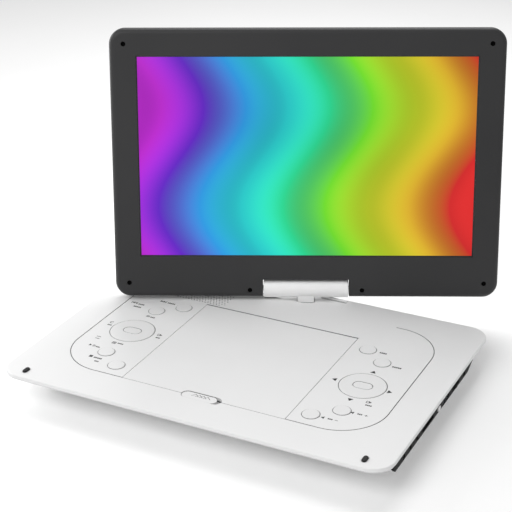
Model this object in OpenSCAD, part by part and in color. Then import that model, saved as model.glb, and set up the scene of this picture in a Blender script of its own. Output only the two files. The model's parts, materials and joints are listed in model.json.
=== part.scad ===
// Portable disc player: a slim base with a top-loading disc bay, carrying a wide
// screen on a tilting barrel that also swivels about an upright post.
// Millimetres. Z is up, the front faces -Y, and the origin lies under the middle
// of the base, on the plane that the rubber feet rest on.

/* [Base] */
// Width of the base
base_w = 352; // [346:1:360]
// Depth of the base, front to back
base_d = 250; // [246:1:256]
// Radius of the base's corners, seen from above
base_r = 19; // [16:1:24]
// Height of the deck's top face above the table
deck_z = 28.5; // [28.5:0.5:30]
// Height of the white rim round the deck
rim_h = 2.7; // [2.6:0.1:4]
// How far the rubber feet stand out under the base
foot_h = 2.5; // [2:0.5:3]

/* [Screen] */
// Width of the screen housing
lid_w = 352; // [346:1:360]
// Height of the screen housing
lid_h = 246; // [240:1:250]
// Thickness of the screen housing
lid_t = 14.4; // [14.4:0.2:15.6]
// Radius of the screen housing's corners
lid_r = 14; // [11:1:18]
// Width of the visible display
window_w = 302.5; // [296:0.5:304]
// Height of the visible display
window_h = 181.5; // [176:0.5:183]
// Frame height below the display
window_foot = 39.5; // [38:0.5:41]

/* [Hinge] */
// Swivel at rest, counter-clockwise seen from above
swivel_rest = 25.3; // [0:0.1:40]
// Lean of the screen behind vertical at rest
tilt_rest = 10.5; // [0:0.5:20]
// Tilt axis above the deck
axis_rise = 9.4; // [9.2:0.1:10]
// Length of the white hinge barrel
barrel_len = 78; // [70:1:80]
// Radius of the white hinge barrel
barrel_r = 8.65; // [8:0.05:8.7]

/* [Keys] */
// Diameter of a round key
key_d = 14.5; // [13:0.5:15]
// Diameter of a ring key
ring_d = 40; // [38:0.5:41]
// Distance of the ring keys from the centre line
ring_x = 110.5; // [109:0.5:111]
// How far a key travels
key_travel = 0.6; // [0.3:0.1:0.6]

/* [Disc bay] */
// Width of the disc door
door_w = 150; // [148:0.5:150]
// Radius of the disc well
well_r = 62.5; // [61:0.5:63]

/* [Hidden] */
$fn = 64;

white = "#f3f3f1";
charcoal = "#3b3b3c";
black = "#1b1b1c";
steel = "#b4b7ba";
board_green = "#2c6b46";

// Levels
rim_z = deck_z - rim_h;
deck_t = 2.5;
deck_under = deck_z - deck_t;
pan_top = rim_z - 0.3;
pan_wall = 2.2;
floor_z = foot_h + pan_wall;
pan_band = 0.7;
pan_w = base_w - 1;
pan_d = base_d - 1;
pan_r = base_r - 0.5;
pan_side_run = 26;
pan_front_run = 39;
pan_back_run = 16;

// Hinge
hinge_y = lid_h - 7 - base_d / 2;
hinge_z = deck_z + axis_rise;
notch_y = 102.1;
notch_w = 77.2;
notch_back = base_d / 2 - 2.5;
notch_gate = 12;
notch_floor = deck_z - 2.2;
neck_w = 15.2;
neck_d = 14.4;
neck_foot = notch_floor + 0.25;

// Screen housing, in its own upright frame: tilt axis along X, screen towards -Y
lid_foot = 7;
lid_edge = 4.5;
lid_front = -lid_t / 2;
lid_wall = 2;
lid_seam = 3.2;
lid_mid = lid_h / 2 - lid_foot;
lid_slot_w = barrel_len + 1.6;
lid_slot_top = 9.8;
window_mid = window_foot - lid_foot + window_h / 2;
window_step = 1.1;
corner_screws = [for (sx = [-1, 1], z = [6.5, 225.5]) [sx * (lid_w / 2 - 13), z]];
hinge_screws = [for (sx = [-1, 1]) [sx * 51.6, -0.3]];

// Disc bay
bay_y = -13.5;
door_front = -88;
door_back = 61;
door_t = 3;
door_pin = [door_back - door_t / 2, deck_z - door_t / 2];
door_gap = 0.4;
tray_top = deck_z - door_t - 0.3;
tray_floor = 19.6;
latch_len = 36;
latch_d = 10.6;

bumper_l = 7.8;
bumper_w = 4;

// Keys: name order is the order of NODES
key_left = [[-110.5, 29], [-91, 45], [-110.5, -56.5], [-90.5, -72.5]];
key_right = [[110.5, 29], [91, 45], [110.5, -56.5], [90.5, -72.5]];
round_keys = concat(key_left, key_right);
key_play = 0.45;
switch_top = 19.8;
stem_foot = switch_top + key_travel + 0.15;
ring_stem = 15;
enter_w = 16.6;
enter_d = 10.1;

// Drive
rail_x = 20;
rail_z = 15;
rail_r = 1.5;
sled_y = bay_y - 25;
screw_x = 30;

// Ports along the right side: heights and distances from the middle
port_z = 22.3;
port_front = -109;
port_back = 75;
port_low = 19.2;
pod_wall = 0.5;
port_seat = 173.3;
port_face = 175.7;
headphone_y = -88;
rib_x = 145.6;
av_y = [-74, -60];
card_y = -36;
power_y = -12;
usb_y = 6;
wheel_y = 30;
dc_y = 52;
board_top = 17.3;
socket_low = port_low + 0.55;
socket_top = port_z + 2.5;

deck_post_at = [for (sx = [-1, 1], p = [[120, -83], [120, 82], [48, 84]]) [sx * p[0], p[1]]];
tray_post_at = [for (sx = [-1, 1], y = [-70, 50]) [sx * 73, y]];
case_screw_at = concat(deck_post_at, tray_post_at);
foot_at = [for (sx = [-1, 1], y = [-68, 96]) [sx * 122, y]];

// ---- shared shapes ----

// Outline w wide and h high from Y = 0, its top corners rounded by rt, its bottom ones by rb
module rounded_profile(w, h, rt, rb) {
    translate([-w / 2, rb]) square([w, h - rt - rb]);
    if (rt > 0) {
        translate([-w / 2 + rt, h - rt]) square([w - 2 * rt, rt]);
        for (s = [-1, 1]) translate([s * (w / 2 - rt), h - rt]) intersection() {
            circle(rt);
            translate([s > 0 ? 0 : -rt, 0]) square(rt);
        }
    }
    if (rb > 0) {
        translate([-w / 2 + rb, 0]) square([w - 2 * rb, rb]);
        for (s = [-1, 1]) translate([s * (w / 2 - rb), rb]) intersection() {
            circle(rb);
            translate([s > 0 ? 0 : -rb, -rb]) square(rb);
        }
    }
}

// Round button standing on Z = 0, its top edge rounded by rt and its bottom edge by rb
module puck(r, h, rt = 0, rb = 0) {
    rotate_extrude() intersection() {
        rounded_profile(2 * r, h, rt, rb);
        translate([0, -1]) square([r + 1, h + 2]);
    }
}

// Plate w by d with corner radius r, standing on Z = 0, edges rounded by rt and rb
module slab(w, d, r, h, rt = 0, rb = 0) {
    for (sx = [-1, 1], sy = [-1, 1])
        translate([sx * (w / 2 - r), sy * (d / 2 - r), 0]) puck(r, h, rt, rb);
    translate([0, d / 2 - r, 0]) rotate([90, 0, 0])
        linear_extrude(d - 2 * r) rounded_profile(w, h, rt, rb);
    translate([-(w / 2 - r), 0, 0]) rotate([90, 0, 90])
        linear_extrude(w - 2 * r) rounded_profile(d, h, rt, rb);
}

// Upright stadium, long along X
module pill(w, d, h) {
    for (s = [-1, 1]) translate([s * (w - d) / 2, 0, 0]) cylinder(d = d, h = h);
    translate([-(w - d) / 2, -d / 2, 0]) cube([w - d, d, h]);
}

// Stadium long along X whose top edge is rounded by rt
module soft_pill(w, d, h, rt) {
    for (s = [-1, 1]) translate([s * (w - d) / 2, 0, 0]) puck(d / 2, h, rt);
    translate([-(w - d) / 2, 0, 0]) rotate([90, 0, 90]) linear_extrude(w - d) rounded_profile(d, h, rt, 0);
}

// Box from one corner to the opposite one
module block(low, high) {
    translate(low) cube(high - low);
}

module swivelled() {
    translate([0, hinge_y, 0]) rotate([0, 0, swivel_rest]) children();
}

module lid_frame() {
    translate([0, 0, hinge_z]) swivelled() rotate([-tilt_rest, 0, 0]) children();
}

// Cylinder along X from x0 to x1
module rod_x(x0, x1, r) {
    translate([x0, 0, 0]) rotate([0, 90, 0]) cylinder(r = r, h = x1 - x0);
}

// Cylinder along Y from y0 to y1
module rod_y(y0, y1, r) {
    translate([0, y1, 0]) rotate([90, 0, 0]) cylinder(r = r, h = y1 - y0);
}

// ---- base housing ----

module panel_groove() {
    line_w = 0.8;
    side = 146;
    back = 94;
    corner = 42;
    d = back - door_front;
    translate([0, (back + door_front) / 2, deck_z - 0.9]) difference() {
        slab(2 * side + line_w, d + line_w, corner + line_w / 2, 2);
        translate([0, 0, -1]) slab(2 * side - line_w, d - line_w, corner - line_w / 2, 4);
        block([-door_w / 2 - 0.1, -d, -1], [door_w / 2 + 0.1, d, 4]);
        block([-98, 0, -1], [98, d, 4]);
    }
}

module speaker_holes() {
    pitch = 2.9;
    for (row = [0 : 8], col = [0 : 18]) {
        x = -114 + col * pitch + (row % 2) * pitch / 2;
        y = 64 + row * pitch;
        if (norm([(x + 87) / 29, (y - 75.6) / 15]) < 1.12)
            translate([x, y, deck_under - 1]) cylinder(r = 0.65, h = 5);
    }
}

// Recess round the hinge post, stepped at its lip and open behind the post
module hinge_recess() {
    lip = 0.5;
    block([-notch_w / 2, notch_y, notch_floor], [notch_w / 2, notch_back, deck_z + 1]);
    block([-notch_w / 2 - lip, notch_y - lip, deck_z - lip], [notch_w / 2 + lip, notch_back, deck_z + 1]);
    block([-notch_gate, notch_back - 1, notch_floor], [notch_gate, base_d / 2 + 1, deck_z + 1]);
}

module base_deck() color(white) difference() {
    union() {
        difference() {
            translate([0, 0, rim_z]) slab(base_w, base_d, base_r, rim_h, 1.2, 0);
            translate([0, 0, rim_z - 1])
                slab(base_w - 2 * deck_t, base_d - 2 * deck_t, base_r - deck_t, rim_h - deck_t + 1);
        }
        block([-notch_w / 2 - 3, notch_y - 3, deck_under - 2.5],
            [notch_w / 2 + 3, base_d / 2 - 4.2, deck_under + 1]);
        block([-notch_w / 2 - 3, notch_y - 3, rim_z], [notch_w / 2 + 3, notch_back + 1, deck_under + 1]);
        for (p = deck_post_at) translate([p[0], p[1], 10.9]) cylinder(r = 3.4, h = deck_under - 10);
        for (s = [-1, 1]) translate([s * 79, door_pin[0], 0])
            block([-3.4, -3, 24.9], [3.4, 3, deck_under + 1]);
        block([-26, -97.5, 21.6], [26, -96, deck_under + 1]);
        block([-26, -96, 21.6], [26, -94, 22.9]);
        block([27, -95, 22], [29, -89.5, deck_under + 1]);
        // Rib behind the round sockets that takes the push of a plug
        block([rib_x, headphone_y - 4.5, board_top + 3.9], [rib_x + 1.8, av_y[1] + 4.5, deck_under + 1]);
    }
    hinge_recess();
    translate([0, hinge_y, notch_floor - 5]) cylinder(r = 6.4, h = 9);
    block([-door_w / 2 - door_gap, door_front - door_gap, deck_under - 3.5],
        [door_w / 2 + door_gap, door_back + door_gap, deck_z + 1]);
    for (s = [-1, 1]) translate([0, door_pin[0], door_pin[1]])
        rod_x(s > 0 ? 70 : -82.5, s > 0 ? 82.5 : -70, 1.06);
    translate([0, door_front, deck_under - 1]) pill(latch_len + 0.4, latch_d, 5);
    for (p = round_keys) translate([p[0], p[1], deck_under - 1])
        cylinder(r = key_d / 2 + key_play, h = 5);
    for (s = [-1, 1]) translate([s * ring_x, bay_y, deck_under - 1])
        cylinder(r = ring_d / 2 + key_play, h = 5);
    for (s = [-1, 1]) translate([s * 154, -113.5, deck_z - 1.55]) rotate([0, 0, 90])
        pill(bumper_l + 0.1, bumper_w + 0.1, 3);
    for (p = deck_post_at) translate([p[0], p[1], 9]) cylinder(r = 1.32, h = 12);
    panel_groove();
    speaker_holes();
}

// Boat-shaped block of the bottom shell, shrunk by inset on every side
module pan_block(inset) {
    low = foot_h + inset;
    hull() {
        translate([0, 0, pan_top - pan_band]) linear_extrude(pan_band + (inset > 0 ? 2 : 0))
            rounded_plan(pan_w - 2 * inset, pan_d - 2 * inset, pan_r - inset);
        translate([0, (pan_front_run - pan_back_run) / 2, low]) linear_extrude(0.5)
            rounded_plan(pan_w - 2 * pan_side_run - 1.2 * inset,
                pan_d - pan_front_run - pan_back_run - 1.2 * inset, pan_r / 2);
    }
}

module rounded_plan(w, d, r) {
    for (sx = [-1, 1], sy = [-1, 1]) translate([sx * (w / 2 - r), sy * (d / 2 - r)]) circle(r, $fn = 48);
    square([w - 2 * r, d], center = true);
    square([w, d - 2 * r], center = true);
}

// Outline of the port strip, seen from the right: Y across, Z up
module port_outline(in) {
    top = pan_top - 0.1;
    polygon([[port_front + in + 3, port_low + in], [port_back - 13 - in, port_low + in],
        [port_back - 1.8 * in, top - in], [port_front + in, top - in], [port_front + in, port_low + 3 + in]]);
}

module port_strip(x0, x1, in) {
    translate([x0, 0, 0]) rotate([90, 0, 90]) linear_extrude(x1 - x0) port_outline(in);
}

// Box under the hinge post, shrunk by inset on its sides
module hinge_box(inset, top) {
    block([-34 + inset, 60, 12 + inset], [34 - inset, pan_d / 2 - 0.3 - inset, top]);
}

module base_pan() color(white) difference() {
    union() {
        difference() {
            union() {
                pan_block(0);
                hinge_box(0, pan_top);
            }
            pan_block(pan_wall);
            hinge_box(pan_wall, pan_top + 1);
        }
        port_pod();
        for (p = case_screw_at) translate([p[0], p[1], floor_z - 1]) cylinder(r = 3.8, h = 7.1);
        for (p = [[-38, -83], [38, -83], [-38, 4], [38, 4]])
            translate([p[0], p[1], floor_z - 1]) cylinder(r = 3, h = 7.2);
        for (y = [-72, 54]) translate([138, y, floor_z - 1]) cylinder(r = 2.5, h = board_top - 2.6 - floor_z);
        for (y = [-64, 46], s = [-1, 1]) translate([s * 86, y, floor_z - 1]) cylinder(r = 2.5, h = 11.7);
    }
    for (p = case_screw_at) {
        translate([p[0], p[1], foot_h - 1]) cylinder(r = 2.6, h = 3.7);
        translate([p[0], p[1], foot_h]) cylinder(r = 1.42, h = 10);
    }
    for (p = foot_at) translate([p[0], p[1], foot_h - 1]) pill(30.2, 10.2, 1.9);
    translate([0, 0, foot_h - 1]) cylinder(r = 8.1, h = 1.9);
    for (i = [-5 : 5], y = [-45, 52]) translate([i * 8, y, foot_h - 1]) rotate([0, 0, 90])
        pill(26, 3, pan_wall + 2);
    port_strip(140, 178, pod_wall);
    port_strip(port_seat, 178, -0.15);
}

module panel_hole(y, z, r) {
    translate([0, y, z]) rod_x(165, 180, r);
}

// Plan of the port strip's outer edge
module port_limit(grow) {
    translate([0, 0, 10]) linear_extrude(18) rounded_plan(pan_w + grow, pan_d + grow, pan_r);
}

// White box that carries the port strip
module port_pod() {
    intersection() {
        port_strip(158, port_seat, 0);
        port_limit(-3);
    }
}

module port_panel() color(black) difference() {
    intersection() {
        port_strip(port_seat + 0.15, 178, 0);
        port_limit(0.4);
    }
    panel_hole(headphone_y, port_z, 2.4);
    for (y = av_y) panel_hole(y, port_z, 2.4);
    panel_hole(dc_y, port_z, 2.7);
    block([165, card_y - 12.7, port_z - 1.6], [180, card_y + 12.7, port_z + 1.6]);
    block([165, usb_y - 6.9, port_z - 2.7], [180, usb_y + 6.9, port_z + 2.7]);
    block([165, power_y - 2.7, port_z - 1], [180, power_y + 5.7, pan_top + 1]);
    block([165, wheel_y - 8, port_z - 1.9], [180, wheel_y + 8, port_z + 1.9]);
}

// Leg from a socket's body down to the board
module socket_legs(half) {
    for (s = [-1, 1]) block([149, s * half - 1, board_top + 0.05], [154, s * half + 1, socket_low + 0.5]);
}

module round_jack(y) {
    translate([0, y, 0]) {
        difference() {
            union() {
                block([148, -3.5, socket_low], [172.5, 3.5, socket_top]);
                translate([0, 0, port_z]) rod_x(172, port_face, 2.3);
            }
            translate([0, 0, port_z]) rod_x(163, 180, 1.8);
        }
        socket_legs(2.5);
    }
}

module headphone_jack() color("#2d4a37") round_jack(headphone_y);

module av_jacks() color("#4a4a2a") for (y = av_y) round_jack(y);

module usb_socket() color(steel) translate([0, usb_y, 0]) {
    difference() {
        block([152, -6.6, port_z - 2.55], [175, 6.6, port_z + 2.55]);
        block([160, -6.25, port_z - 2.3], [180, 6.25, port_z + 2.3]);
    }
    block([159, -5.5, port_z - 0.1], [172.6, 5.5, port_z + 1.8]);
    for (s = [-1, 1]) block([153, s * 4 - 1, board_top + 0.05], [156, s * 4 + 1, port_z - 2.4]);
}

module card_slot() color(steel) translate([0, card_y, 0]) {
    difference() {
        block([140, -13, port_z - 2.3], [173, 13, port_z + 2.3]);
        block([143, -12.3, port_z - 1.3], [180, 12.3, port_z + 1.3]);
    }
    for (s = [-1, 1]) block([141, s * 10 - 1, board_top + 0.05], [144, s * 10 + 1, port_z - 2]);
}

module dc_socket() color(black) translate([0, dc_y, 0]) {
    difference() {
        union() {
            block([148, -4.5, socket_low], [172.5, 4.5, socket_top]);
            translate([0, 0, port_z]) rod_x(172, port_face, 2.6);
        }
        translate([0, 0, port_z]) rod_x(164, 180, 2.1);
    }
    translate([0, 0, port_z]) rod_x(163.5, 174.9, 0.8);
    socket_legs(3.5);
}

module power_switch() color(steel) translate([0, power_y, 0]) {
    difference() {
        block([150, -6, socket_low], [168.5, 8, socket_top]);
        block([165, -3.5, port_z - 0.6], [170, 6.5, port_z + 2.2]);
    }
    socket_legs(4);
}

module power_knob() color(white) translate([0, power_y, port_z]) {
    block([166, -2, -0.2], [171, 2, 1.8]);
    block([171, -2.2, -0.6], [176.9, 2.2, 2.35]);
    block([173.7, -2.2, 0], [176.9, 2.2, 2.9]);
}

module volume_wheel() color(black) translate([168.8, wheel_y, 0]) difference() {
    union() {
        translate([0, 0, port_z - 1.4]) cylinder(r = 8.2, h = 2.8);
        translate([0, 0, port_z - 2.3]) cylinder(r = 1, h = 2.3);
    }
    for (a = [0 : 15 : 345]) rotate([0, 0, a])
        translate([8.5, 0, port_z - 2]) cylinder(r = 0.7, h = 4);
}

module rubber_feet() color(black) {
    for (p = foot_at) translate(p) pill(30, 10, foot_h + 0.85);
    puck(8, foot_h + 0.85, 0, 0.6);
}

module deck_bumpers() color(black) for (s = [-1, 1])
    translate([s * 154, -113.5, deck_z - 1.5]) rotate([0, 0, 90]) soft_pill(bumper_l, bumper_w, 3, 0.8);

module case_screws() color(steel) for (p = case_screw_at) translate([p[0], p[1], 0]) {
    difference() {
        translate([0, 0, 3.4]) puck(2.4, 1.75, 0, 0.5);
        block([-1.6, -0.25, 3], [1.6, 0.25, 4.2]);
        block([-0.25, -1.6, 3], [0.25, 1.6, 4.2]);
    }
    translate([0, 0, 5]) cylinder(r = 1.3, h = 12);
}

// ---- inside the base ----

module speaker_driver() color(black) translate([-87, 77.7, 0]) {
    difference() {
        translate([0, 0, 20]) slab(52, 22, 4, 5.6);
        translate([0, 0, 21.2]) slab(46, 17, 8, 6);
    }
    translate([0, 0, 11]) cylinder(r = 9.5, h = 9.2);
    translate([0, 0, 21]) puck(7, 2.5, 2);
}

module battery_pack() color("#3d6fa8") for (i = [0 : 2]) translate([-121, -52 + i * 42, floor_z + 0.5])
    slab(54, 41.6, 3, 8.4, 2, 0);

module key_boards() color(board_green) for (s = [-1, 1]) translate([s * 107, -10, 15.5]) difference() {
    slab(52, 134, 2, 1.6);
    for (y = [-54, 56]) translate([-s * 21, y, -1]) cylinder(r = 1.3, h = 4);
}

module one_switch(x, y) {
    translate([x, y, 17.15]) {
        block([-3, -3, 0], [3, 3, 2]);
        cylinder(r = 1.7, h = switch_top - 17.15);
    }
}

module key_switches() color(steel) {
    for (p = round_keys) one_switch(p[0], p[1]);
    for (s = [-1, 1]) {
        one_switch(s * ring_x, bay_y);
        for (a = [0 : 90 : 270]) one_switch(s * ring_x + ring_stem * cos(a), bay_y + ring_stem * sin(a));
    }
}

module main_board() color(board_green) {
    block([134.5, -94, board_top - 1.6], [158, 62, board_top]);
    block([140, -20, board_top - 0.1], [147, -13, board_top + 1.4]);
    block([137, 12, board_top - 0.1], [147, 24, board_top + 1.6]);
    translate([0, wheel_y, 0]) {
        block([150, -4, board_top - 0.1], [155, 4, port_z - 1.6]);
        difference() {
            block([154, -4.5, socket_low], [171.5, 4.5, port_z - 1.7]);
            translate([168.8, 0, port_z - 3.6]) cylinder(r = 1.06, h = 4);
        }
    }
}

module drive_ribbon() color("#d9d4c2") {
    block([44.5, -30, 10.2], [136.2, -14, 10.5]);
    block([135.9, -30, 10.2], [136.2, -14, board_top - 1.7]);
}

module disc_tray() color(white) difference() {
    union() {
        difference() {
            block([-80.5, -93, tray_top - 1.6], [80.5, 66, deck_under - 0.1]);
            block([-door_w / 2 - 0.6, door_front - 0.6, tray_top],
                [door_w / 2 + 0.6, door_back + 0.6, deck_z]);
        }
        translate([0, bay_y, tray_floor - 1.6]) cylinder(r = well_r + 1.6, h = tray_top - tray_floor + 1.6);
        for (s = [-1, 1]) translate([s * 60.5, bay_y, tray_floor - 1.6])
            cylinder(r = 14.6, h = tray_top - tray_floor + 1.6);
        for (p = tray_post_at) translate([p[0], p[1], 10.9]) cylinder(r = 3.6, h = 13.5);
    }
    for (p = tray_post_at) translate([p[0], p[1], 9]) cylinder(r = 1.32, h = 12);
    translate([0, bay_y, tray_floor]) cylinder(r = well_r, h = 20);
    for (s = [-1, 1]) translate([s * 60.5, bay_y, tray_floor]) cylinder(r = 13, h = 20);
    translate([0, bay_y, tray_floor - 3]) cylinder(r = 15.5, h = 5);
    block([-12, bay_y - 61.5, tray_floor - 3], [12, bay_y - 10, tray_floor + 1]);
    block([-29, -95, 20], [32, bay_y - well_r - 2.6, deck_z]);
    for (s = [-1, 1]) block([s * 79 - 4.5, door_pin[0] - 4, 20], [s * 79 + 4.5, door_pin[0] + 4, deck_z]);
}

module drive_chassis() color(steel) difference() {
    union() {
        block([-44, -92, 11], [44, 10, 12.2]);
        for (s = [-1, 1], y = [-90, -4]) block([s * rail_x - 3, y, 12], [s * rail_x + 3, y + 3, 17.4]);
        block([screw_x - 3, -90, 12], [screw_x + 3, -87, 17.4]);
    }
    block([-17, -86, 10], [17, -30, 13]);
    translate([0, bay_y, 10]) cylinder(r = 5, h = 4);
    block([screw_x - 7, -28, 10], [screw_x + 7, -10, 12.21]);
    for (s = [-1, 1]) translate([s * rail_x, 0, rail_z]) rod_y(-95, 5, rail_r + 0.02);
    translate([screw_x, 0, rail_z]) rod_y(-95, -80, 1.35);
}

module guide_rods() color(steel) for (s = [-1, 1])
    translate([s * rail_x, 0, rail_z]) rod_y(-91, 0, rail_r);

module spindle_motor() color(steel) translate([0, bay_y, 0]) difference() {
    union() {
        translate([0, 0, 12.25]) puck(12, 6.6, 1);
        translate([0, 0, 8]) cylinder(r = 4.8, h = 5);
    }
    translate([0, 0, 7]) cylinder(r = 1.05, h = 15);
}

module sled_motor() color(steel) translate([screw_x, 0, rail_z]) intersection() {
    rod_y(-27, -11, 6.2);
    block([-7, -28, -2.7], [7, 0, 2.7]);
}

module swivel_base() color(steel) translate([0, hinge_y, 19.5]) difference() {
    block([-30, -12, 0], [30, 7, 3.7]);
    translate([0, 0, -1]) cylinder(r = 6.05, h = 8);
    for (s = [-1, 1]) translate([s * 24, -3, -1]) cylinder(r = 1.6, h = 8);
}

// ---- disc door and its latch ----

module disc_door() color(white) difference() {
    union() {
        block([-door_w / 2, door_front, deck_z - door_t], [door_w / 2, door_pin[0], deck_z]);
        translate([0, door_pin[0], door_pin[1]]) rod_x(-door_w / 2, door_w / 2, door_t / 2);
        translate([0, bay_y, deck_z - door_t - 2]) difference() {
            cylinder(r = well_r - 1.5, h = 3);
            translate([0, 0, -1]) cylinder(r = well_r - 3, h = 5);
        }
        block([-4, -82, 21.5], [-2, -80, deck_z - 1]);
        block([-4, -82, 21.5], [1, -80, 22.7]);
    }
    translate([0, door_front, deck_z - door_t - 1]) pill(latch_len + 0.8, latch_d + 0.7, 6);
    for (s = [-1, 1]) translate([0, door_pin[0], door_pin[1]])
        rod_x(s > 0 ? 67 : -76, s > 0 ? 76 : -67, 1.02);
}

module door_hinge_pins() color(steel) translate([0, door_pin[0], door_pin[1]]) {
    rod_x(67.5, 80.5, 1);
    rod_x(-80.5, -67.5, 1);
}

module latch_slider() color(white) difference() {
    union() {
        translate([-2, door_front, 24]) pill(31.6, latch_d - 0.8, deck_z - 0.3 - 24);
        block([-20, -93.6, 23.1], [16, -83.6, 25]);
        block([1.3, -84, 23.1], [9, -79.6, 24.3]);
        block([16, -93.6, 23.1], [17.5, -90, 25]);
    }
    for (i = [0 : 3]) translate([-6 + i * 3.6, door_front, deck_z - 0.8]) rotate([0, 0, 45])
        difference() {
            block([-2.4, -2.4, 0], [2.4, 2.4, 2]);
            block([-3, -3, -1], [1.9, 1.9, 3]);
        }
}

module latch_spring() color(steel) translate([17.6, -91.8, 24.05]) {
    for (i = [0 : 5]) translate([0.3 + i * 1.7, 0, 0]) rotate([0, 90, 0]) rotate_extrude()
        translate([0.85, 0]) circle(r = 0.25, $fn = 24);
    rod_x(0, 9.3, 0.62);
}

// ---- keys ----

module round_key(i) {
    translate([round_keys[i][0], round_keys[i][1], 0]) {
        translate([0, 0, 24.8]) puck(key_d / 2, deck_z + 0.5 - 24.8, 0.5);
        translate([0, 0, 24.7]) cylinder(r = key_d / 2 + 1.75, h = 1);
        translate([0, 0, stem_foot]) cylinder(r = 2, h = 25 - stem_foot);
    }
}

module ring_key(s) color(white) translate([s * ring_x, bay_y, 0]) difference() {
    union() {
        translate([0, 0, 24.8]) puck(ring_d / 2, deck_z + 0.4 - 24.8, 0.8);
        translate([0, 0, 24.7]) cylinder(r = ring_d / 2 + 2, h = 1);
        for (a = [0 : 90 : 270]) rotate([0, 0, a])
            translate([ring_stem, 0, stem_foot]) cylinder(r = 1.6, h = 25 - stem_foot);
    }
    translate([0, 0, 24]) pill(enter_w + 2 * key_play, enter_d + 2 * key_play, 8);
}

module enter_key(s) color(white) translate([s * ring_x, bay_y, 0]) {
    translate([0, 0, 23.2]) soft_pill(enter_w, enter_d, deck_z + 0.5 - 23.2, 0.5);
    translate([0, 0, 22.8]) pill(enter_w + 3.4, enter_d + 3, 1);
    translate([0, 0, stem_foot]) cylinder(r = 1.6, h = 23 - stem_foot);
}

module previous_key() color(white) round_key(0);
module next_key() color(white) round_key(1);
module play_key() color(white) round_key(2);
module stop_key() color(white) round_key(3);
module volume_up_key() color(white) round_key(4);
module volume_down_key() color(white) round_key(5);
module menu_key() color(white) round_key(6);
module source_key() color(white) round_key(7);
module left_ring_key() ring_key(-1);
module right_ring_key() ring_key(1);
module left_enter_key() enter_key(-1);
module right_enter_key() enter_key(1);

// ---- disc drive, moving pieces ----

module turntable() color(black) translate([0, bay_y, 0]) difference() {
    union() {
        translate([0, 0, 19.6]) puck(14, 1.5, 0.3);
        translate([0, 0, 21]) cylinder(r = 7.35, h = 2.2);
        translate([0, 0, 23.2]) cylinder(r1 = 7.35, r2 = 5.4, h = 1.3);
        translate([0, 0, 9]) cylinder(r = 1, h = 11);
    }
    for (a = [0 : 120 : 240]) rotate([0, 0, a]) translate([6.7, 0, 22.75]) sphere(r = 1.15);
}

module turntable_pad() color(charcoal) translate([0, bay_y, 21.1]) difference() {
    cylinder(r = 13.5, h = 0.5);
    translate([0, 0, -1]) cylinder(r = 10, h = 3);
}

module hub_balls() color(steel) translate([0, bay_y, 22.75])
    for (a = [0 : 120 : 240]) rotate([0, 0, a]) translate([6.7, 0, 0]) sphere(r = 1.1);

module laser_sled() color(charcoal) translate([0, sled_y, 0]) difference() {
    union() {
        block([-24, -10, 12.8], [24, 10, 17.2]);
        block([22, -3.5, 12.8], [screw_x + 3.2, 3.5, 17.2]);
        translate([0, 0, 17]) cylinder(r = 7, h = 0.75);
    }
    for (s = [-1, 1]) translate([s * rail_x, 0, rail_z]) rod_y(-20, 20, rail_r + 0.05);
    translate([screw_x, 0, rail_z]) rod_y(-20, 20, 1.7);
    translate([0, 0, 15]) cylinder(r = 3.25, h = 4);
}

module laser_lens() color("#6f7fb5") translate([0, sled_y, 15.05]) puck(3.2, 4.1, 1.4);

module lead_screw() color(steel) translate([screw_x, 0, rail_z]) difference() {
    rod_y(-89.5, -27.3, 1.3);
    for (y = [-85 : 3 : -31]) translate([0, y, 0]) rotate([90, 0, 0]) rotate_extrude()
        translate([1.45, 0]) circle(r = 0.4, $fn = 24);
}

// ---- swivel post and hinge barrel ----

module swivel_neck() color(white) swivelled() difference() {
    union() {
        translate([0, 0, neck_foot]) slab(neck_w, neck_d, 1, hinge_z - 1.1 - neck_foot);
        translate([0, 0, 16]) cylinder(r = 6, h = 12);
        translate([0, 0, 14.6]) cylinder(r = 7.6, h = 2.6);
    }
    translate([0, 0, 10]) cylinder(r = 3, h = 40);
}

module hinge_barrel() color(white) translate([0, 0, hinge_z]) swivelled() difference() {
    rotate([0, 90, 0]) translate([0, 0, -barrel_len / 2]) puck(barrel_r, barrel_len, 0.8, 0.8);
    rod_x(-50, 50, 2.55);
    translate([0, 0, -12]) slab(neck_w + 0.04, neck_d + 0.04, 1.02, 11);
}

module friction_washer() color(steel) translate([0, hinge_y, 17.3]) difference() {
    cylinder(r = 7.6, h = 2.1);
    translate([0, 0, -1]) cylinder(r = 6.1, h = 5);
}

// ---- screen housing ----

module lid_solid(inset, y0, y1, edge) {
    translate([0, y1, lid_mid]) rotate([90, 0, 0])
        slab(lid_w - 2 * inset, lid_h - 2 * inset, lid_r - inset, y1 - y0, edge, edge);
}

module lid_slot(grow) {
    block([-lid_slot_w / 2 - grow, -10, -10], [lid_slot_w / 2 + grow, 10, lid_slot_top + grow]);
}

module lid_shell() {
    difference() {
        lid_solid(0, lid_front, -lid_front, lid_edge);
        difference() {
            lid_solid(lid_wall, lid_front + lid_wall, -lid_front - 1.8, 0);
            lid_slot(1.6);
        }
        lid_slot(0);
    }
}

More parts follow.
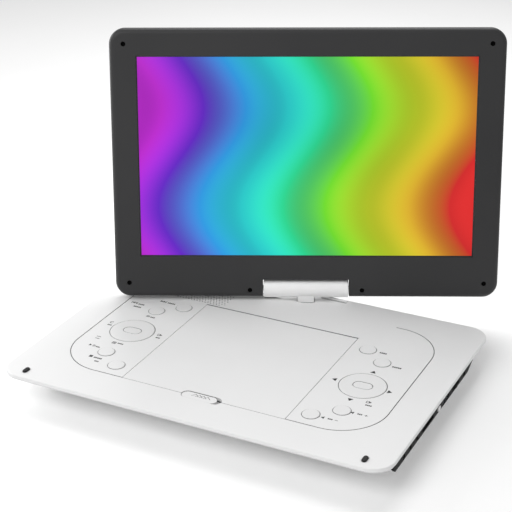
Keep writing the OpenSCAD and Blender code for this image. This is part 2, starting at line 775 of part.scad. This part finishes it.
module lid_bezel() color(charcoal) lid_frame() difference() {
    union() {
        intersection() {
            lid_shell();
            block([-200, -20, -20], [200, lid_seam - 0.05, 260]);
        }
        for (p = corner_screws) translate([p[0], 0, p[1]]) rod_y(-5.5, -2.9, 3);
        for (p = hinge_screws) translate([p[0], 0, p[1]]) rod_y(-5.5, -1.6, 3);
    }
    translate([0, 0, window_mid]) block([-window_w / 2, -20, -window_h / 2], [window_w / 2, 0, window_h / 2]);
    translate([0, 0, window_mid]) block([-window_w / 2 - window_step, -20, -window_h / 2 - window_step],
        [window_w / 2 + window_step, lid_front + 1.4, window_h / 2 + window_step]);
    for (p = concat(corner_screws, hinge_screws)) translate([p[0], 0, p[1]]) {
        rod_y(-10, -5.9, 2.2);
        rod_y(-8, 0, 1.22);
    }
    rod_x(-43, 43, 2.56);
}

module lid_back_cover() color(white) lid_frame() difference() {
    union() {
        intersection() {
            lid_shell();
            block([-200, lid_seam + 0.05, -20], [200, 20, 260]);
        }
        for (p = corner_screws) translate([p[0], 0, p[1]]) rod_y(-2.8, 5.6, 3);
    }
    for (p = corner_screws) translate([p[0], 0, p[1]]) rod_y(-4, 4.2, 1.22);
}

module lid_screws() color(black) lid_frame() {
    for (p = corner_screws) translate([p[0], 0, p[1]]) {
        rod_y(-6.9, -5.95, 2.05);
        rod_y(-6.2, 4, 1.15);
    }
    for (p = hinge_screws) translate([p[0], 0, p[1]]) {
        rod_y(-6.9, -5.95, 2.05);
        rod_y(-6.2, 0.2, 1.15);
    }
}

module display_glass() color("#2b3d6b") lid_frame()
    translate([0, 0, window_mid]) block([-154, -5.15, -93.5], [154, -3.95, 93.5]);

module backlight_module() color(steel) lid_frame() translate([0, 0, window_mid]) difference() {
    block([-156, -3.9, -96], [156, 1.2, 96]);
    for (i = [-2 : 2]) block([i * 56 - 22, 0.6, -70], [i * 56 + 22, 3, 70]);
}

module display_board() color(board_green) lid_frame() {
    block([72, -1.5, 3], [150, 0.1, 24]);
    block([80, 0, 8], [92, 1.6, 20]);
    block([110, 0, 6], [140, 2.4, 14]);
}

module hinge_brackets() color(steel) lid_frame() for (s = [0, 1]) mirror([s, 0, 0]) difference() {
    union() {
        block([44, -4.2, -4.2], [47, 4.2, 4.2]);
        block([44, -1.5, -4.2], [64, 0, 22]);
    }
    rod_x(43, 47.8, 2.52);
    translate([51.6, 0, -0.3]) rod_y(-3, 3, 1.22);
    translate([58, 0, 16]) rod_y(-3, 3, 1.5);
}

module hinge_shafts() color(steel) lid_frame() {
    rod_x(14, 47.4, 2.5);
    rod_x(-47.4, -14, 2.5);
}

base_deck();
base_pan();
port_panel();
headphone_jack();
av_jacks();
usb_socket();
card_slot();
dc_socket();
rubber_feet();
deck_bumpers();
speaker_driver();
battery_pack();
main_board();
key_boards();
key_switches();
disc_tray();
drive_chassis();
guide_rods();
spindle_motor();
sled_motor();
swivel_base();
case_screws();
power_switch();
drive_ribbon();
disc_door();
door_hinge_pins();
latch_slider();
latch_spring();
previous_key();
next_key();
play_key();
stop_key();
volume_up_key();
volume_down_key();
menu_key();
source_key();
left_ring_key();
right_ring_key();
left_enter_key();
right_enter_key();
turntable();
turntable_pad();
hub_balls();
laser_sled();
laser_lens();
lead_screw();
swivel_neck();
hinge_barrel();
friction_washer();
lid_bezel();
lid_back_cover();
display_glass();
backlight_module();
display_board();
hinge_brackets();
hinge_shafts();
lid_screws();
power_knob();
volume_wheel();
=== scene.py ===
"""Portable disc player with a swivelling screen: materials, fine pieces, light and camera."""

import colorsys
import json
import math

import bmesh
import bpy
from mathutils import Matrix, Vector


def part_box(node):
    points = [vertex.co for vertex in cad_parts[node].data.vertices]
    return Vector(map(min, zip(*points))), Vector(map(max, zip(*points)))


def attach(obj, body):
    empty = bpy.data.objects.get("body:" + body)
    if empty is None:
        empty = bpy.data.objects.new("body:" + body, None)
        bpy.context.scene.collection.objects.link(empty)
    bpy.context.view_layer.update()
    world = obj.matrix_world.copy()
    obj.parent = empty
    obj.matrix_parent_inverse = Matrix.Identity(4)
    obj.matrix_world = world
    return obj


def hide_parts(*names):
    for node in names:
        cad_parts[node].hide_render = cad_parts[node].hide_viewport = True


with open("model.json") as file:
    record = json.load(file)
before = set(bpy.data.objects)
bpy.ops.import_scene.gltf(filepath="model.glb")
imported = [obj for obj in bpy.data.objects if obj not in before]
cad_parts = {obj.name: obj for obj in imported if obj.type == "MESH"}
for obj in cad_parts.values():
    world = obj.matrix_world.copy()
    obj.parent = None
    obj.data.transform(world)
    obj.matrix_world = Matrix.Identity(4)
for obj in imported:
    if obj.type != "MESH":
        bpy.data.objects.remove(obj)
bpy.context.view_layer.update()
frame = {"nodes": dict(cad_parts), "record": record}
nodes = frame["nodes"]
MM = 0.001


# ---- camera, light and floor ----

deck_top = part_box("base_deck")[1].z


def make_camera():
    """A long lens at the front right, aimed a little above the middle of the deck."""
    azimuth, elevation, roll = (math.radians(a) for a in (26.89, 24.92, -0.51))
    aside, above, distance = 0.00487, 0.08142, 1.18568
    back = Vector((math.sin(azimuth) * math.cos(elevation),
                   -math.cos(azimuth) * math.cos(elevation), math.sin(elevation)))
    right = Vector((math.cos(azimuth), math.sin(azimuth), 0))
    up = back.cross(right)
    tilted_right = right * math.cos(roll) + up * math.sin(roll)
    tilted_up = up * math.cos(roll) - right * math.sin(roll)
    camera = bpy.data.objects.new("Camera", bpy.data.cameras.new("Camera"))
    bpy.context.collection.objects.link(camera)
    place = Vector((0, 0, deck_top)) + tilted_right * aside + tilted_up * above + back * distance
    turn = Matrix((tilted_right, tilted_up, back)).transposed()
    camera.matrix_world = Matrix.Translation(place) @ turn.to_4x4()
    camera.data.sensor_width = 36
    camera.data.lens = 96.6
    camera.data.clip_start = 0.02
    camera.data.clip_end = 60
    bpy.context.scene.camera = camera


def area_light(name, place, target, size, power, spread=180):
    """A rectangular lamp at a place, facing a target, with its spread in degrees."""
    data = bpy.data.lights.new(name, "AREA")
    data.shape = "RECTANGLE"
    data.size, data.size_y = size
    data.energy = power
    data.spread = math.radians(spread)
    lamp = bpy.data.objects.new(name, data)
    bpy.context.collection.objects.link(lamp)
    lamp.location = place
    lamp.visible_camera = False
    lamp.rotation_euler = (Vector(place) - Vector(target)).to_track_quat("Z", "Y").to_euler()


# ---- material building ----

class Graph:
    """Small helper around one material's node tree."""

    def __init__(self, name):
        self.material = bpy.data.materials.new(name)
        self.material.use_nodes = True
        self.tree = self.material.node_tree
        self.shader = self.tree.nodes["Principled BSDF"]
        self.object_place = self.add("ShaderNodeTexCoord").outputs["Object"]

    def add(self, kind, **settings):
        node = self.tree.nodes.new(kind)
        for key, value in settings.items():
            setattr(node, key, value)
        return node

    def put(self, value, socket):
        if isinstance(value, bpy.types.NodeSocket):
            self.tree.links.new(value, socket)
        else:
            socket.default_value = value

    def math(self, operation, a, b=0.0, c=0.0):
        node = self.add("ShaderNodeMath", operation=operation)
        for value, socket in zip((a, b, c), node.inputs):
            self.put(value, socket)
        return node.outputs[0]

    def noise(self, scale, detail=2.0, roughness=0.5, stretch=(1, 1, 1)):
        mapping = self.add("ShaderNodeMapping")
        self.put(self.object_place, mapping.inputs["Vector"])
        mapping.inputs["Scale"].default_value = stretch
        node = self.add("ShaderNodeTexNoise")
        self.put(mapping.outputs[0], node.inputs["Vector"])
        node.inputs["Scale"].default_value = scale
        node.inputs["Detail"].default_value = detail
        node.inputs["Roughness"].default_value = roughness
        return node.outputs["Fac"]

    def ramp(self, value, stops, interpolation="LINEAR"):
        node = self.add("ShaderNodeValToRGB")
        node.color_ramp.interpolation = interpolation
        elements = node.color_ramp.elements
        for i, (place, colour) in enumerate(stops):
            element = elements[i] if i < 2 else elements.new(place)
            element.position = place
            element.color = (*colour, 1)
        self.put(value, node.inputs[0])
        return node.outputs[0]

    def spread(self, value, low, high):
        node = self.add("ShaderNodeMapRange")
        self.put(value, node.inputs["Value"])
        node.inputs["To Min"].default_value = low
        node.inputs["To Max"].default_value = high
        return node.outputs[0]

    def mix(self, factor, a, b, blend="MIX"):
        node = self.add("ShaderNodeMix", data_type="RGBA", blend_type=blend)
        colours = [s for s in node.inputs if s.type == "RGBA"]
        self.put(factor, node.inputs[0])
        for value, socket in zip((a, b), colours):
            self.put(value if isinstance(value, bpy.types.NodeSocket) else (*value, 1), socket)
        return [s for s in node.outputs if s.type == "RGBA"][0]

    def bump(self, height, depth):
        node = self.add("ShaderNodeBump")
        node.inputs["Strength"].default_value = 1.0
        node.inputs["Distance"].default_value = depth
        self.put(height, node.inputs["Height"])
        self.put(node.outputs[0], self.shader.inputs["Normal"])

    def set(self, **values):
        for key, value in values.items():
            self.put(value, self.shader.inputs[key.replace("_", " ")])
        return self.material


def moulded(name, dark, light, rough, grain, depth, coat=0.0, specular=0.5, crevice_shade=None):
    """Injection-moulded plastic: faint cloudiness in the colour, fine spark-eroded grain in the bump,
    and, when a shade colour is given, painted shade darkening the colour in grooves and creases.
    """
    shade_reach = 0.0016
    g = Graph(name)
    cloud = g.noise(9, 3)
    speck = g.noise(grain, 2, 0.6)
    colour = g.ramp(g.math("ADD", g.math("MULTIPLY", cloud, 0.8), g.math("MULTIPLY", speck, 0.2)),
                    [(0.3, dark), (0.7, light)])
    # Painted shade: an ambient-occlusion node blends the colour towards the given dark colour in
    # grooves, gaps and creases within 1.6 mm, where light is shut out.
    if crevice_shade:
        crevice_occlusion = g.add("ShaderNodeAmbientOcclusion", samples=6)
        crevice_occlusion.inputs["Distance"].default_value = shade_reach
        unshaded_share = g.math("MULTIPLY", g.math("SUBTRACT", crevice_occlusion.outputs["AO"], 0.35), 1.6)
        colour = g.mix(g.math("MINIMUM", g.math("MAXIMUM", unshaded_share, 0.0), 1.0), crevice_shade, colour)
    g.set(Base_Color=colour, Roughness=g.spread(speck, rough - 0.05, rough + 0.05))
    g.bump(speck, depth)
    g.shader.inputs["Coat Weight"].default_value = coat
    g.shader.inputs["Coat Roughness"].default_value = 0.12
    g.shader.inputs["Specular IOR Level"].default_value = specular
    return g.material


def metal(name, dark, light, rough, stretch, depth):
    """Rolled or plated steel with fine marks along one direction."""
    g = Graph(name)
    lines = g.noise(420, 3, 0.6, stretch)
    blotch = g.noise(60, 3)
    both = g.math("ADD", g.math("MULTIPLY", lines, 0.6), g.math("MULTIPLY", blotch, 0.4))
    g.set(Base_Color=g.ramp(both, [(0.3, dark), (0.7, light)]),
          Roughness=g.spread(lines, rough - 0.06, rough + 0.08))
    g.bump(lines, depth)
    g.shader.inputs["Metallic"].default_value = 1.0
    return g.material


def circuit_board():
    """Green solder mask over a maze of traces, with tinned pads."""
    g = Graph("circuit_board")
    cells = g.add("ShaderNodeTexVoronoi", distance="MANHATTAN", feature="F1")
    g.put(g.object_place, cells.inputs["Vector"])
    cells.inputs["Scale"].default_value = 260
    pads = g.math("LESS_THAN", cells.outputs["Distance"], 0.13)
    traces = g.add("ShaderNodeTexVoronoi", distance="CHEBYCHEV", feature="DISTANCE_TO_EDGE")
    g.put(g.object_place, traces.inputs["Vector"])
    traces.inputs["Scale"].default_value = 190
    lanes = g.math("GREATER_THAN", traces.outputs["Distance"], 0.09)
    mask = g.mix(lanes, (0.012, 0.075, 0.03), (0.022, 0.15, 0.06))
    g.set(Base_Color=g.mix(pads, mask, (0.75, 0.72, 0.66)), Roughness=g.spread(pads, 0.28, 0.42))
    g.bump(g.math("ADD", lanes, pads), 0.00003)
    return g.material


def battery_wrap():
    """Blue shrink sleeve with gentle wrinkles."""
    g = Graph("battery_wrap")
    wrinkle = g.noise(120, 4, 0.6, (0.3, 1, 1))
    g.set(Base_Color=g.ramp(wrinkle, [(0.3, (0.02, 0.09, 0.3)), (0.7, (0.04, 0.15, 0.42))]),
          Roughness=g.spread(wrinkle, 0.25, 0.4))
    g.bump(wrinkle, 0.0002)
    return g.material


def ribbon_cable():
    """Flat flexible cable: pale film over parallel conductors."""
    g = Graph("ribbon_cable")
    axis = g.add("ShaderNodeSeparateXYZ")
    g.put(g.object_place, axis.inputs[0])
    wires_per_metre = 1000.0
    wires = g.math("FRACT", g.math("MULTIPLY", axis.outputs["Y"], wires_per_metre))
    lines = g.math("GREATER_THAN", wires, 0.45)
    g.set(Base_Color=g.mix(lines, (0.8, 0.78, 0.7), (0.55, 0.5, 0.38)),
          Roughness=g.spread(lines, 0.35, 0.5))
    g.bump(lines, 0.00005)
    return g.material


def coated_lens():
    """Small glass lens with a blue and violet coating."""
    g = Graph("lens")
    tint = g.noise(300, 2)
    g.set(Base_Color=g.ramp(tint, [(0.3, (0.06, 0.1, 0.35)), (0.7, (0.2, 0.12, 0.4))]),
          Roughness=g.spread(tint, 0.03, 0.08))
    g.shader.inputs["Coat Weight"].default_value = 1.0
    return g.material


def display_picture(width, height):
    """A plain spectrum across the screen, bent by one slow wave and lit from behind."""
    bend, bands = 0.07, 5
    g = Graph("display")
    axis = g.add("ShaderNodeSeparateXYZ")
    g.put(g.object_place, axis.inputs[0])
    across = g.math("MULTIPLY_ADD", axis.outputs["X"], 1 / width, 0.5)
    upright = g.math("MULTIPLY_ADD", axis.outputs["Z"], 1 / height, 0.5)
    swing = g.math("SINE", g.math("MULTIPLY", upright, math.tau))
    bent = g.math("MULTIPLY_ADD", swing, bend, across)
    hue_steps, last_hue = 8, 0.8
    spectrum = [(i / hue_steps, colorsys.hsv_to_rgb(last_hue * (1 - i / hue_steps), 0.96, 0.8))
                for i in range(hue_steps + 1)]
    broad_bands = g.math("SINE", g.math("MULTIPLY", bent, bands * math.tau))
    glow = g.noise(9, 1.0, 0.4)
    banded = g.math("MULTIPLY_ADD", broad_bands, 0.14, 0.8)
    light = g.math("MULTIPLY", banded, g.spread(glow, 0.75, 1.2))
    dimming = g.add("ShaderNodeCombineColor")
    for socket in dimming.inputs:
        g.put(light, socket)
    colour = g.mix(1.0, g.ramp(bent, spectrum), dimming.outputs[0], "MULTIPLY")
    g.put(colour, g.shader.inputs["Emission Color"])
    g.shader.inputs["Emission Strength"].default_value = 0.95
    g.put(g.mix(0.95, colour, (0.0, 0.0, 0.0)), g.shader.inputs["Base Color"])
    g.shader.inputs["Specular IOR Level"].default_value = 0.08
    grain = g.noise(2400, 1)
    g.put(g.spread(grain, 0.35, 0.5), g.shader.inputs["Roughness"])
    g.bump(grain, 0.000004)
    return g.material


def make_materials():
    """Materials by the record's slots, apart from the display's, and a lighter copy of the white for the
    hinge, whose extra brightness is a painted highlight.
    """
    white_dark, white_light = (0.76, 0.76, 0.76), (0.80, 0.80, 0.80)
    # Colour of the painted shade in the grooves and creases of the white shell and keys.
    white_crevice_shade = (0.16, 0.16, 0.16)
    return {
        "white_shell": moulded("white_shell", white_dark, white_light, 0.5, 1500, 0.000004, 0.06, 0.5,
                               white_crevice_shade),
        "white_key": moulded("white_key", white_dark, white_light, 0.35, 1500, 0.000003, 0.15, 0.5,
                             white_crevice_shade),
        # Painted highlight: the same white plastic as the shell, made lighter so that the hinge barrel
        # and neck look more brightly lit than the deck.
        "white_hinge": moulded("white_hinge", (0.88, 0.88, 0.88), (0.93, 0.93, 0.93), 0.45, 1500,
                               0.000003, 0.06),
        "white_tray": moulded("white_tray", (0.7, 0.7, 0.69), (0.78, 0.78, 0.77), 0.55, 1300, 0.00001),
        "charcoal_bezel": moulded("charcoal_bezel", (0.026, 0.026, 0.027), (0.033, 0.033, 0.034), 0.5,
                                  1700, 0.000012, 0.0, 0.35),
        "black_plastic": moulded("black_plastic", (0.006, 0.006, 0.006), (0.011, 0.011, 0.011), 0.6,
                                 1500, 0.000012, 0.0, 0.12),
        "rubber": moulded("rubber", (0.016, 0.016, 0.016), (0.03, 0.03, 0.03), 0.75, 1100, 0.00003,
                          0.0, 0.3),
        "black_screw": metal("black_screw", (0.001, 0.001, 0.001), (0.005, 0.005, 0.005), 0.5, (1, 1, 1),
                             0.00001),
        "bright_steel": metal("bright_steel", (0.55, 0.56, 0.58), (0.74, 0.75, 0.76), 0.22, (0.06, 1, 1),
                              0.000006),
        "steel_plate": metal("steel_plate", (0.42, 0.43, 0.44), (0.58, 0.59, 0.6), 0.38, (1, 0.08, 1),
                             0.00001),
        "panel_frame": moulded("panel_frame", (0.5, 0.5, 0.51), (0.62, 0.62, 0.63), 0.42, 900, 0.00001),
        "battery_wrap": battery_wrap(),
        "circuit_board": circuit_board(),
        "ribbon_cable": ribbon_cable(),
        "lens": coated_lens(),
    }


# ---- mesh building ----

def new_piece(name, bm, material, smooth=True):
    """Makes an object of the mesh being built and its material."""
    sharp_angle = 32
    mesh = bpy.data.meshes.new(name)
    bm.normal_update()
    bm.to_mesh(mesh)
    bm.free()
    piece = bpy.data.objects.new(name, mesh)
    bpy.context.collection.objects.link(piece)
    piece.data.materials.append(material)
    if smooth:
        for face in mesh.polygons:
            face.use_smooth = True
        mesh.set_sharp_from_angle(angle=math.radians(sharp_angle))
    return piece


def bevelled_box(bm, low, high, width=0.0, segments=2):
    """Adds a box between two corners, every edge rounded by width."""
    made = bmesh.ops.create_cube(bm, size=1.0)
    middle = (Vector(low) + Vector(high)) / 2
    size = Vector(high) - Vector(low)
    stretch = Matrix.Diagonal((*size, 1))
    bmesh.ops.transform(bm, verts=made["verts"], matrix=Matrix.Translation(middle) @ stretch)
    if width:
        edges = list({e for v in made["verts"] for e in v.link_edges})
        bmesh.ops.bevel(bm, geom=edges, offset=width, segments=segments, profile=0.5, affect="EDGES")


def plate(bm, outline, z0, z1, place=(0, 0), turn=0.0, grow=1.0):
    """Adds a flat plate with the given outline, a list of points, between two heights, in mm."""
    c, s = math.cos(turn), math.sin(turn)
    spots = [(place[0] + grow * (c * x - s * y), place[1] + grow * (s * x + c * y))
             for x, y in outline]
    low = [bm.verts.new((x * MM, y * MM, z0 * MM)) for x, y in spots]
    high = [bm.verts.new((x * MM, y * MM, z1 * MM)) for x, y in spots]
    following = spots[1:] + spots[:1]
    area = sum(x0 * y1 - x1 * y0 for (x0, y0), (x1, y1) in zip(spots, following))
    if area < 0:
        low.reverse()
        high.reverse()
    bm.faces.new(high)
    bm.faces.new(list(reversed(low)))
    join_rings(bm, low, high)


def join_rings(bm, a, b):
    """Adds the faces between two closed rings that have as many points as each other."""
    for i in range(len(a)):
        j = (i + 1) % len(a)
        bm.faces.new((a[i], a[j], b[j], b[i]))


def arc(radius, start, end, steps):
    """Points on an arc round the middle, between two angles in degrees."""
    angles = [math.radians(start + (end - start) * i / steps) for i in range(steps + 1)]
    return [(radius * math.cos(a), radius * math.sin(a)) for a in angles]


# Generic icons, each a list of outlines in a box about 4 mm wide round its middle
RIGHT_TRIANGLE = [(-0.9, -1.2), (1.1, 0), (-0.9, 1.2)]
BAR = [(-0.25, -1.2), (0.25, -1.2), (0.25, 1.2), (-0.25, 1.2)]


def moved(outline, dx, flip=1):
    """The outline shifted sideways, and turned left to right when flip is -1."""
    return [(dx + flip * x, y) for x, y in outline]


def box_outline(x0, y0, x1, y1):
    """Four corners of a box."""
    return [(x0, y0), (x1, y0), (x1, y1), (x0, y1)]


def mark_row(count):
    """A short row of dark blocks, standing for a printed caption."""
    pitch, wide, half = 1.6, 1.25, 0.95
    start = -(pitch * (count - 1) + wide) / 2
    return [box_outline(start + i * pitch, -half, start + i * pitch + wide, half)
            for i in range(count)]


ICONS = {
    "marks3": mark_row(3),
    "marks4": mark_row(4),
    "marks5": mark_row(5),
    "play": [moved(RIGHT_TRIANGLE, -1.4), moved(BAR, 0.7), moved(BAR, 1.7)],
    "stop": [box_outline(-1.1, -1.1, 1.1, 1.1)],
    "previous": [moved(RIGHT_TRIANGLE, 1.3, -1), moved(RIGHT_TRIANGLE, -0.8, -1), moved(BAR, -2.2)],
    "next": [moved(RIGHT_TRIANGLE, -1.3), moved(RIGHT_TRIANGLE, 0.8), moved(BAR, 2.2)],
    "menu": [box_outline(-1.7, y - 0.32, 1.7, y + 0.32) for y in (-1.1, 0, 1.1)],
    "source": [box_outline(-2, -1.2, -0.1, -0.8), box_outline(-2, 0.8, -0.1, 1.2),
               box_outline(-2, -0.8, -1.6, 0.8), moved(RIGHT_TRIANGLE, 0.6)],
    "speaker": [[(-1.6, -0.5), (-0.8, -0.5), (0, -1.3), (0, 1.3), (-0.8, 0.5), (-1.6, 0.5)]],
    "plus": [box_outline(-1, -0.2, 1, 0.2), box_outline(-0.2, 0.2, 0.2, 1),
             box_outline(-0.2, -1, 0.2, -0.2)],
    "minus": [box_outline(-1, -0.2, 1, 0.2)],
    "arrow": [[(-0.95, -0.7), (0.95, -0.7), (0, 0.8)]],
    "grid": [box_outline(-1.3 + i * 1.0, -1.1 + j * 1.2, -0.6 + i * 1.0, -0.2 + j * 1.2)
             for i in range(3) for j in range(2)],
    "repeat": [arc(1.3, 30, 330, 14) + arc(0.85, 330, 30, 14)],
    "line": [box_outline(-2.4, -0.42, 2.4, 0.42)],
}


def icon_set(name, items):
    """One thin printed piece on the deck, of many icons: (icon, x, y, turn in degrees, size)."""
    sunk, proud = 0.02, 0.025
    z0, z1 = deck_top / MM - sunk, deck_top / MM + proud
    bm = bmesh.new()
    for icon, x, y, turn, size in items:
        for outline in ICONS[icon]:
            plate(bm, outline, z0, z1, (x, y), math.radians(turn), size)
    piece = new_piece(name, bm, materials["print"], smooth=False)
    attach(piece, "base")


def printed_ink():
    """Near-black ink, a little worn."""
    g = Graph("printed_ink")
    wear = g.noise(1800, 2)
    g.set(Base_Color=g.ramp(wear, [(0.25, (0.004, 0.004, 0.004)), (0.8, (0.012, 0.012, 0.013))]),
          Roughness=g.spread(wear, 0.4, 0.55))
    return g.material


def lid_axes():
    """Place and turn of the screen housing's own frame: X across, Y out of the back, Z up the screen."""
    swivel, tilt = math.radians(25.3), math.radians(10.5)
    turn = Matrix.Rotation(swivel, 4, "Z") @ Matrix.Rotation(-tilt, 4, "X")
    return Matrix.Translation(joint_place("lid_tilt")) @ turn


def joint_place(name):
    """Where the record puts a joint."""
    for joint in frame["record"]["behaviour"]["joints"]:
        if joint["name"] == name:
            return Vector(joint["pos_m"])
    raise ValueError(name)


make_camera()
materials = make_materials()
materials["print"] = printed_ink()
for subpart in frame["record"]["subparts"]:
    if subpart["material_slot"] in materials:
        node = nodes[subpart["node"]]
        node.data.materials.clear()
        node.data.materials.append(materials[subpart["material_slot"]])

# The hinge barrel and neck get the lighter white, a painted highlight.
for name in ("swivel_neck", "hinge_barrel"):
    nodes[name].data.materials.clear()
    nodes[name].data.materials.append(materials["white_hinge"])

# ---- the screen ----

lid = lid_axes()
WINDOW_WIDE, WINDOW_TALL = 302.5, 181.5
WINDOW_MIDDLE = 123.25


def display():
    """The glass with its lit picture, a little larger than the window on each side."""
    glass_wide, glass_tall, glass_thick, glass_depth = 308, 187, 1.2, -4.55
    bm = bmesh.new()
    far = Vector((glass_wide, glass_thick, glass_tall)) / 2 * MM
    bevelled_box(bm, -far, far, 0.00025)
    piece = new_piece("display_panel", bm,
                      display_picture(WINDOW_WIDE * MM, WINDOW_TALL * MM))
    piece.matrix_world = lid @ Matrix.Translation((0, glass_depth * MM, WINDOW_MIDDLE * MM))
    piece.visible_diffuse = False
    piece.visible_glossy = False
    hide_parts("display_glass")
    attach(piece, "lid")


def window_trim():
    """Sloping edge round the display, from the frame's front face down to the glass."""
    bm = bmesh.new()
    step, front, seat = 1.08, -7.2, -5.82
    profile = [(step, seat), (step, front + 0.05), (step - 0.12, front + 0.02),
               (0.02, seat + 0.35), (0.0, seat + 0.3), (0.0, seat)]
    rings = []
    for grow, depth in profile:
        w, h = WINDOW_WIDE / 2 + grow, WINDOW_TALL / 2 + grow
        rings.append([bm.verts.new((x * MM, depth * MM, z * MM))
                      for x, z in box_outline(-w, -h, w, h)])
    for a, b in zip(rings, rings[1:] + rings[:1]):
        join_rings(bm, a, b)
    bmesh.ops.recalc_face_normals(bm, faces=bm.faces)
    piece = new_piece("window_trim", bm, materials["charcoal_bezel"], smooth=False)
    piece.matrix_world = lid @ Matrix.Translation((0, 0, WINDOW_MIDDLE * MM))
    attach(piece, "lid")


def screw_heads():
    """Six black screws, each a low domed head with a cross recess over its shank."""
    steps, head_back, recess_reach = 32, -6, 1.4
    profile = [(0.45, -6.35), (0.75, -6.6), (1.5, -6.86), (1.9, -6.8), (2.05, -6.6), (2.05, -5.95),
               (1.12, -5.9), (1.12, 0.1)]
    spots = [(side * 163, z) for side in (-1, 1) for z in (6.5, 225.5)]
    spots += [(side * 51.6, -0.3) for side in (-1, 1)]
    bm = bmesh.new()
    for x, z in spots:
        rings = []
        for radius, y in profile:
            crossed = radius < recess_reach and y < head_back
            ring = []
            for i in range(steps):
                a = math.tau * i / steps
                r = radius * (1.0 + 0.5 * abs(math.cos(2 * a)) ** 6) if crossed else radius
                ring.append(bm.verts.new(((x + r * math.cos(a)) * MM, y * MM,
                                          (z + r * math.sin(a)) * MM)))
            rings.append(ring)
        for a, b in zip(rings, rings[1:]):
            join_rings(bm, a, b)
        bm.faces.new(rings[0])
        bm.faces.new(rings[-1])
    bmesh.ops.recalc_face_normals(bm, faces=bm.faces)
    piece = new_piece("frame_screws", bm, materials["black_screw"])
    piece.matrix_world = lid
    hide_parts("lid_screws")
    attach(piece, "lid")


display()
window_trim()
screw_heads()

# ---- printed icons and captions on the deck, in mm ----

icon_set("left_icons", [
    ("previous", -137.3, 35.0, 0, 1.3), ("marks4", -130.0, 34.2, 0, 1.0),
    ("marks5", -131.0, 28.6, 0, 1.0),
    ("next", -114.5, 48.2, 0, 1.3), ("marks5", -105.8, 47.8, 0, 1.0),
    ("grid", -112.5, 16.8, 0, 1.2), ("marks3", -107.4, 16.2, 0, 1.0),
    ("repeat", -135.6, -7.6, 0, 1.4), ("marks3", -135.0, -12.6, 0, 0.9),
    ("source", -84.2, -10.0, 0, 1.3), ("marks3", -83.6, -15.2, 0, 0.9),
    ("menu", -113.4, -39.4, 0, 1.2), ("marks4", -107.4, -38.8, 0, 0.9),
    ("line", -131.5, -35.5, 0, 0.9), ("line", -131.0, -39.0, 0, 0.9),
    ("play", -128.0, -51.6, 0, 1.35), ("marks3", -122.2, -52.2, 0, 0.9),
    ("stop", -118.6, -68.4, 0, 1.4), ("marks5", -111.4, -69.0, 0, 1.0),
    ("marks3", -109.5, -74.2, 0, 0.9)])
icon_set("right_icons", [
    ("marks4", 105.0, 45.0, 0, 1.05), ("marks5", 124.6, 26.7, 0, 1.05),
    ("speaker", 102.2, -72.8, 0, 1.5), ("marks3", 107.3, -72.6, 0, 0.9),
    ("minus", 112.5, -72.4, 0, 1.3),
    ("speaker", 120.4, -56.0, 0, 1.5), ("marks3", 125.5, -55.8, 0, 0.9),
    ("plus", 131.0, -55.7, 0, 1.3),
    ("source", 125.4, -35.6, 0, 1.3), ("marks4", 126.6, -40.4, 0, 0.9)])
icon_set("ring_arrows", [
    ("arrow", 109.8, 11.4, 0, 2.6), ("arrow", 109.6, -38.4, 180, 2.6),
    ("arrow", 85.1, -13.7, 90, 2.6), ("arrow", 134.2, -13.4, -90, 2.6)])

# ---- floor and light ----

def floor():
    """Pale paper under and behind the player, which isn't part of it."""
    bm = bmesh.new()
    reach = 9.0
    bmesh.ops.create_grid(bm, x_segments=1, y_segments=1, size=reach)
    mesh = bpy.data.meshes.new("Floor")
    bm.to_mesh(mesh)
    bm.free()
    piece = bpy.data.objects.new("Floor", mesh)
    bpy.context.collection.objects.link(piece)
    g = Graph("floor_paper")
    cloud = g.noise(3, 2)
    g.set(Base_Color=g.ramp(cloud, [(0.3, (0.93, 0.93, 0.93)), (0.7, (0.95, 0.95, 0.95))]),
          Roughness=g.spread(cloud, 0.85, 0.95))
    g.shader.inputs["Specular IOR Level"].default_value = 0.0
    g.shader.inputs["Emission Color"].default_value = (1, 1, 1, 1)
    g.shader.inputs["Emission Strength"].default_value = 0.06
    piece.data.materials.append(g.material)


def lighting():
    """A bright studio: an even dome, three large lamps and a narrow one on the deck by the hinge."""
    world = bpy.data.worlds.new("Studio")
    bpy.context.scene.world = world
    world.use_nodes = True
    background = world.node_tree.nodes["Background"]
    background.inputs["Color"].default_value = (1, 1, 1, 1)
    background.inputs["Strength"].default_value = 0.5
    area_light("Left", (-0.62, 0.05, 0.30), (-0.1, 0.0, 0.0), (0.3, 0.4), 1.5)
    area_light("Front", (-0.2, -0.9, 1.0), (0.0, 0.0, 0.02), (1.0, 0.8), 6.5)
    area_light("Back", (-0.25, 0.75, 1.1), (0.0, 0.0, 0.0), (0.9, 0.9), 8.5)
    area_light("Hinge", (0.0, -0.12, 0.62), (0.0, 0.085, 0.02), (0.30, 0.06), 0.018, 24)
    bpy.context.scene.view_settings.view_transform = "Standard"
    bpy.context.scene.view_settings.look = "None"


floor()
lighting()
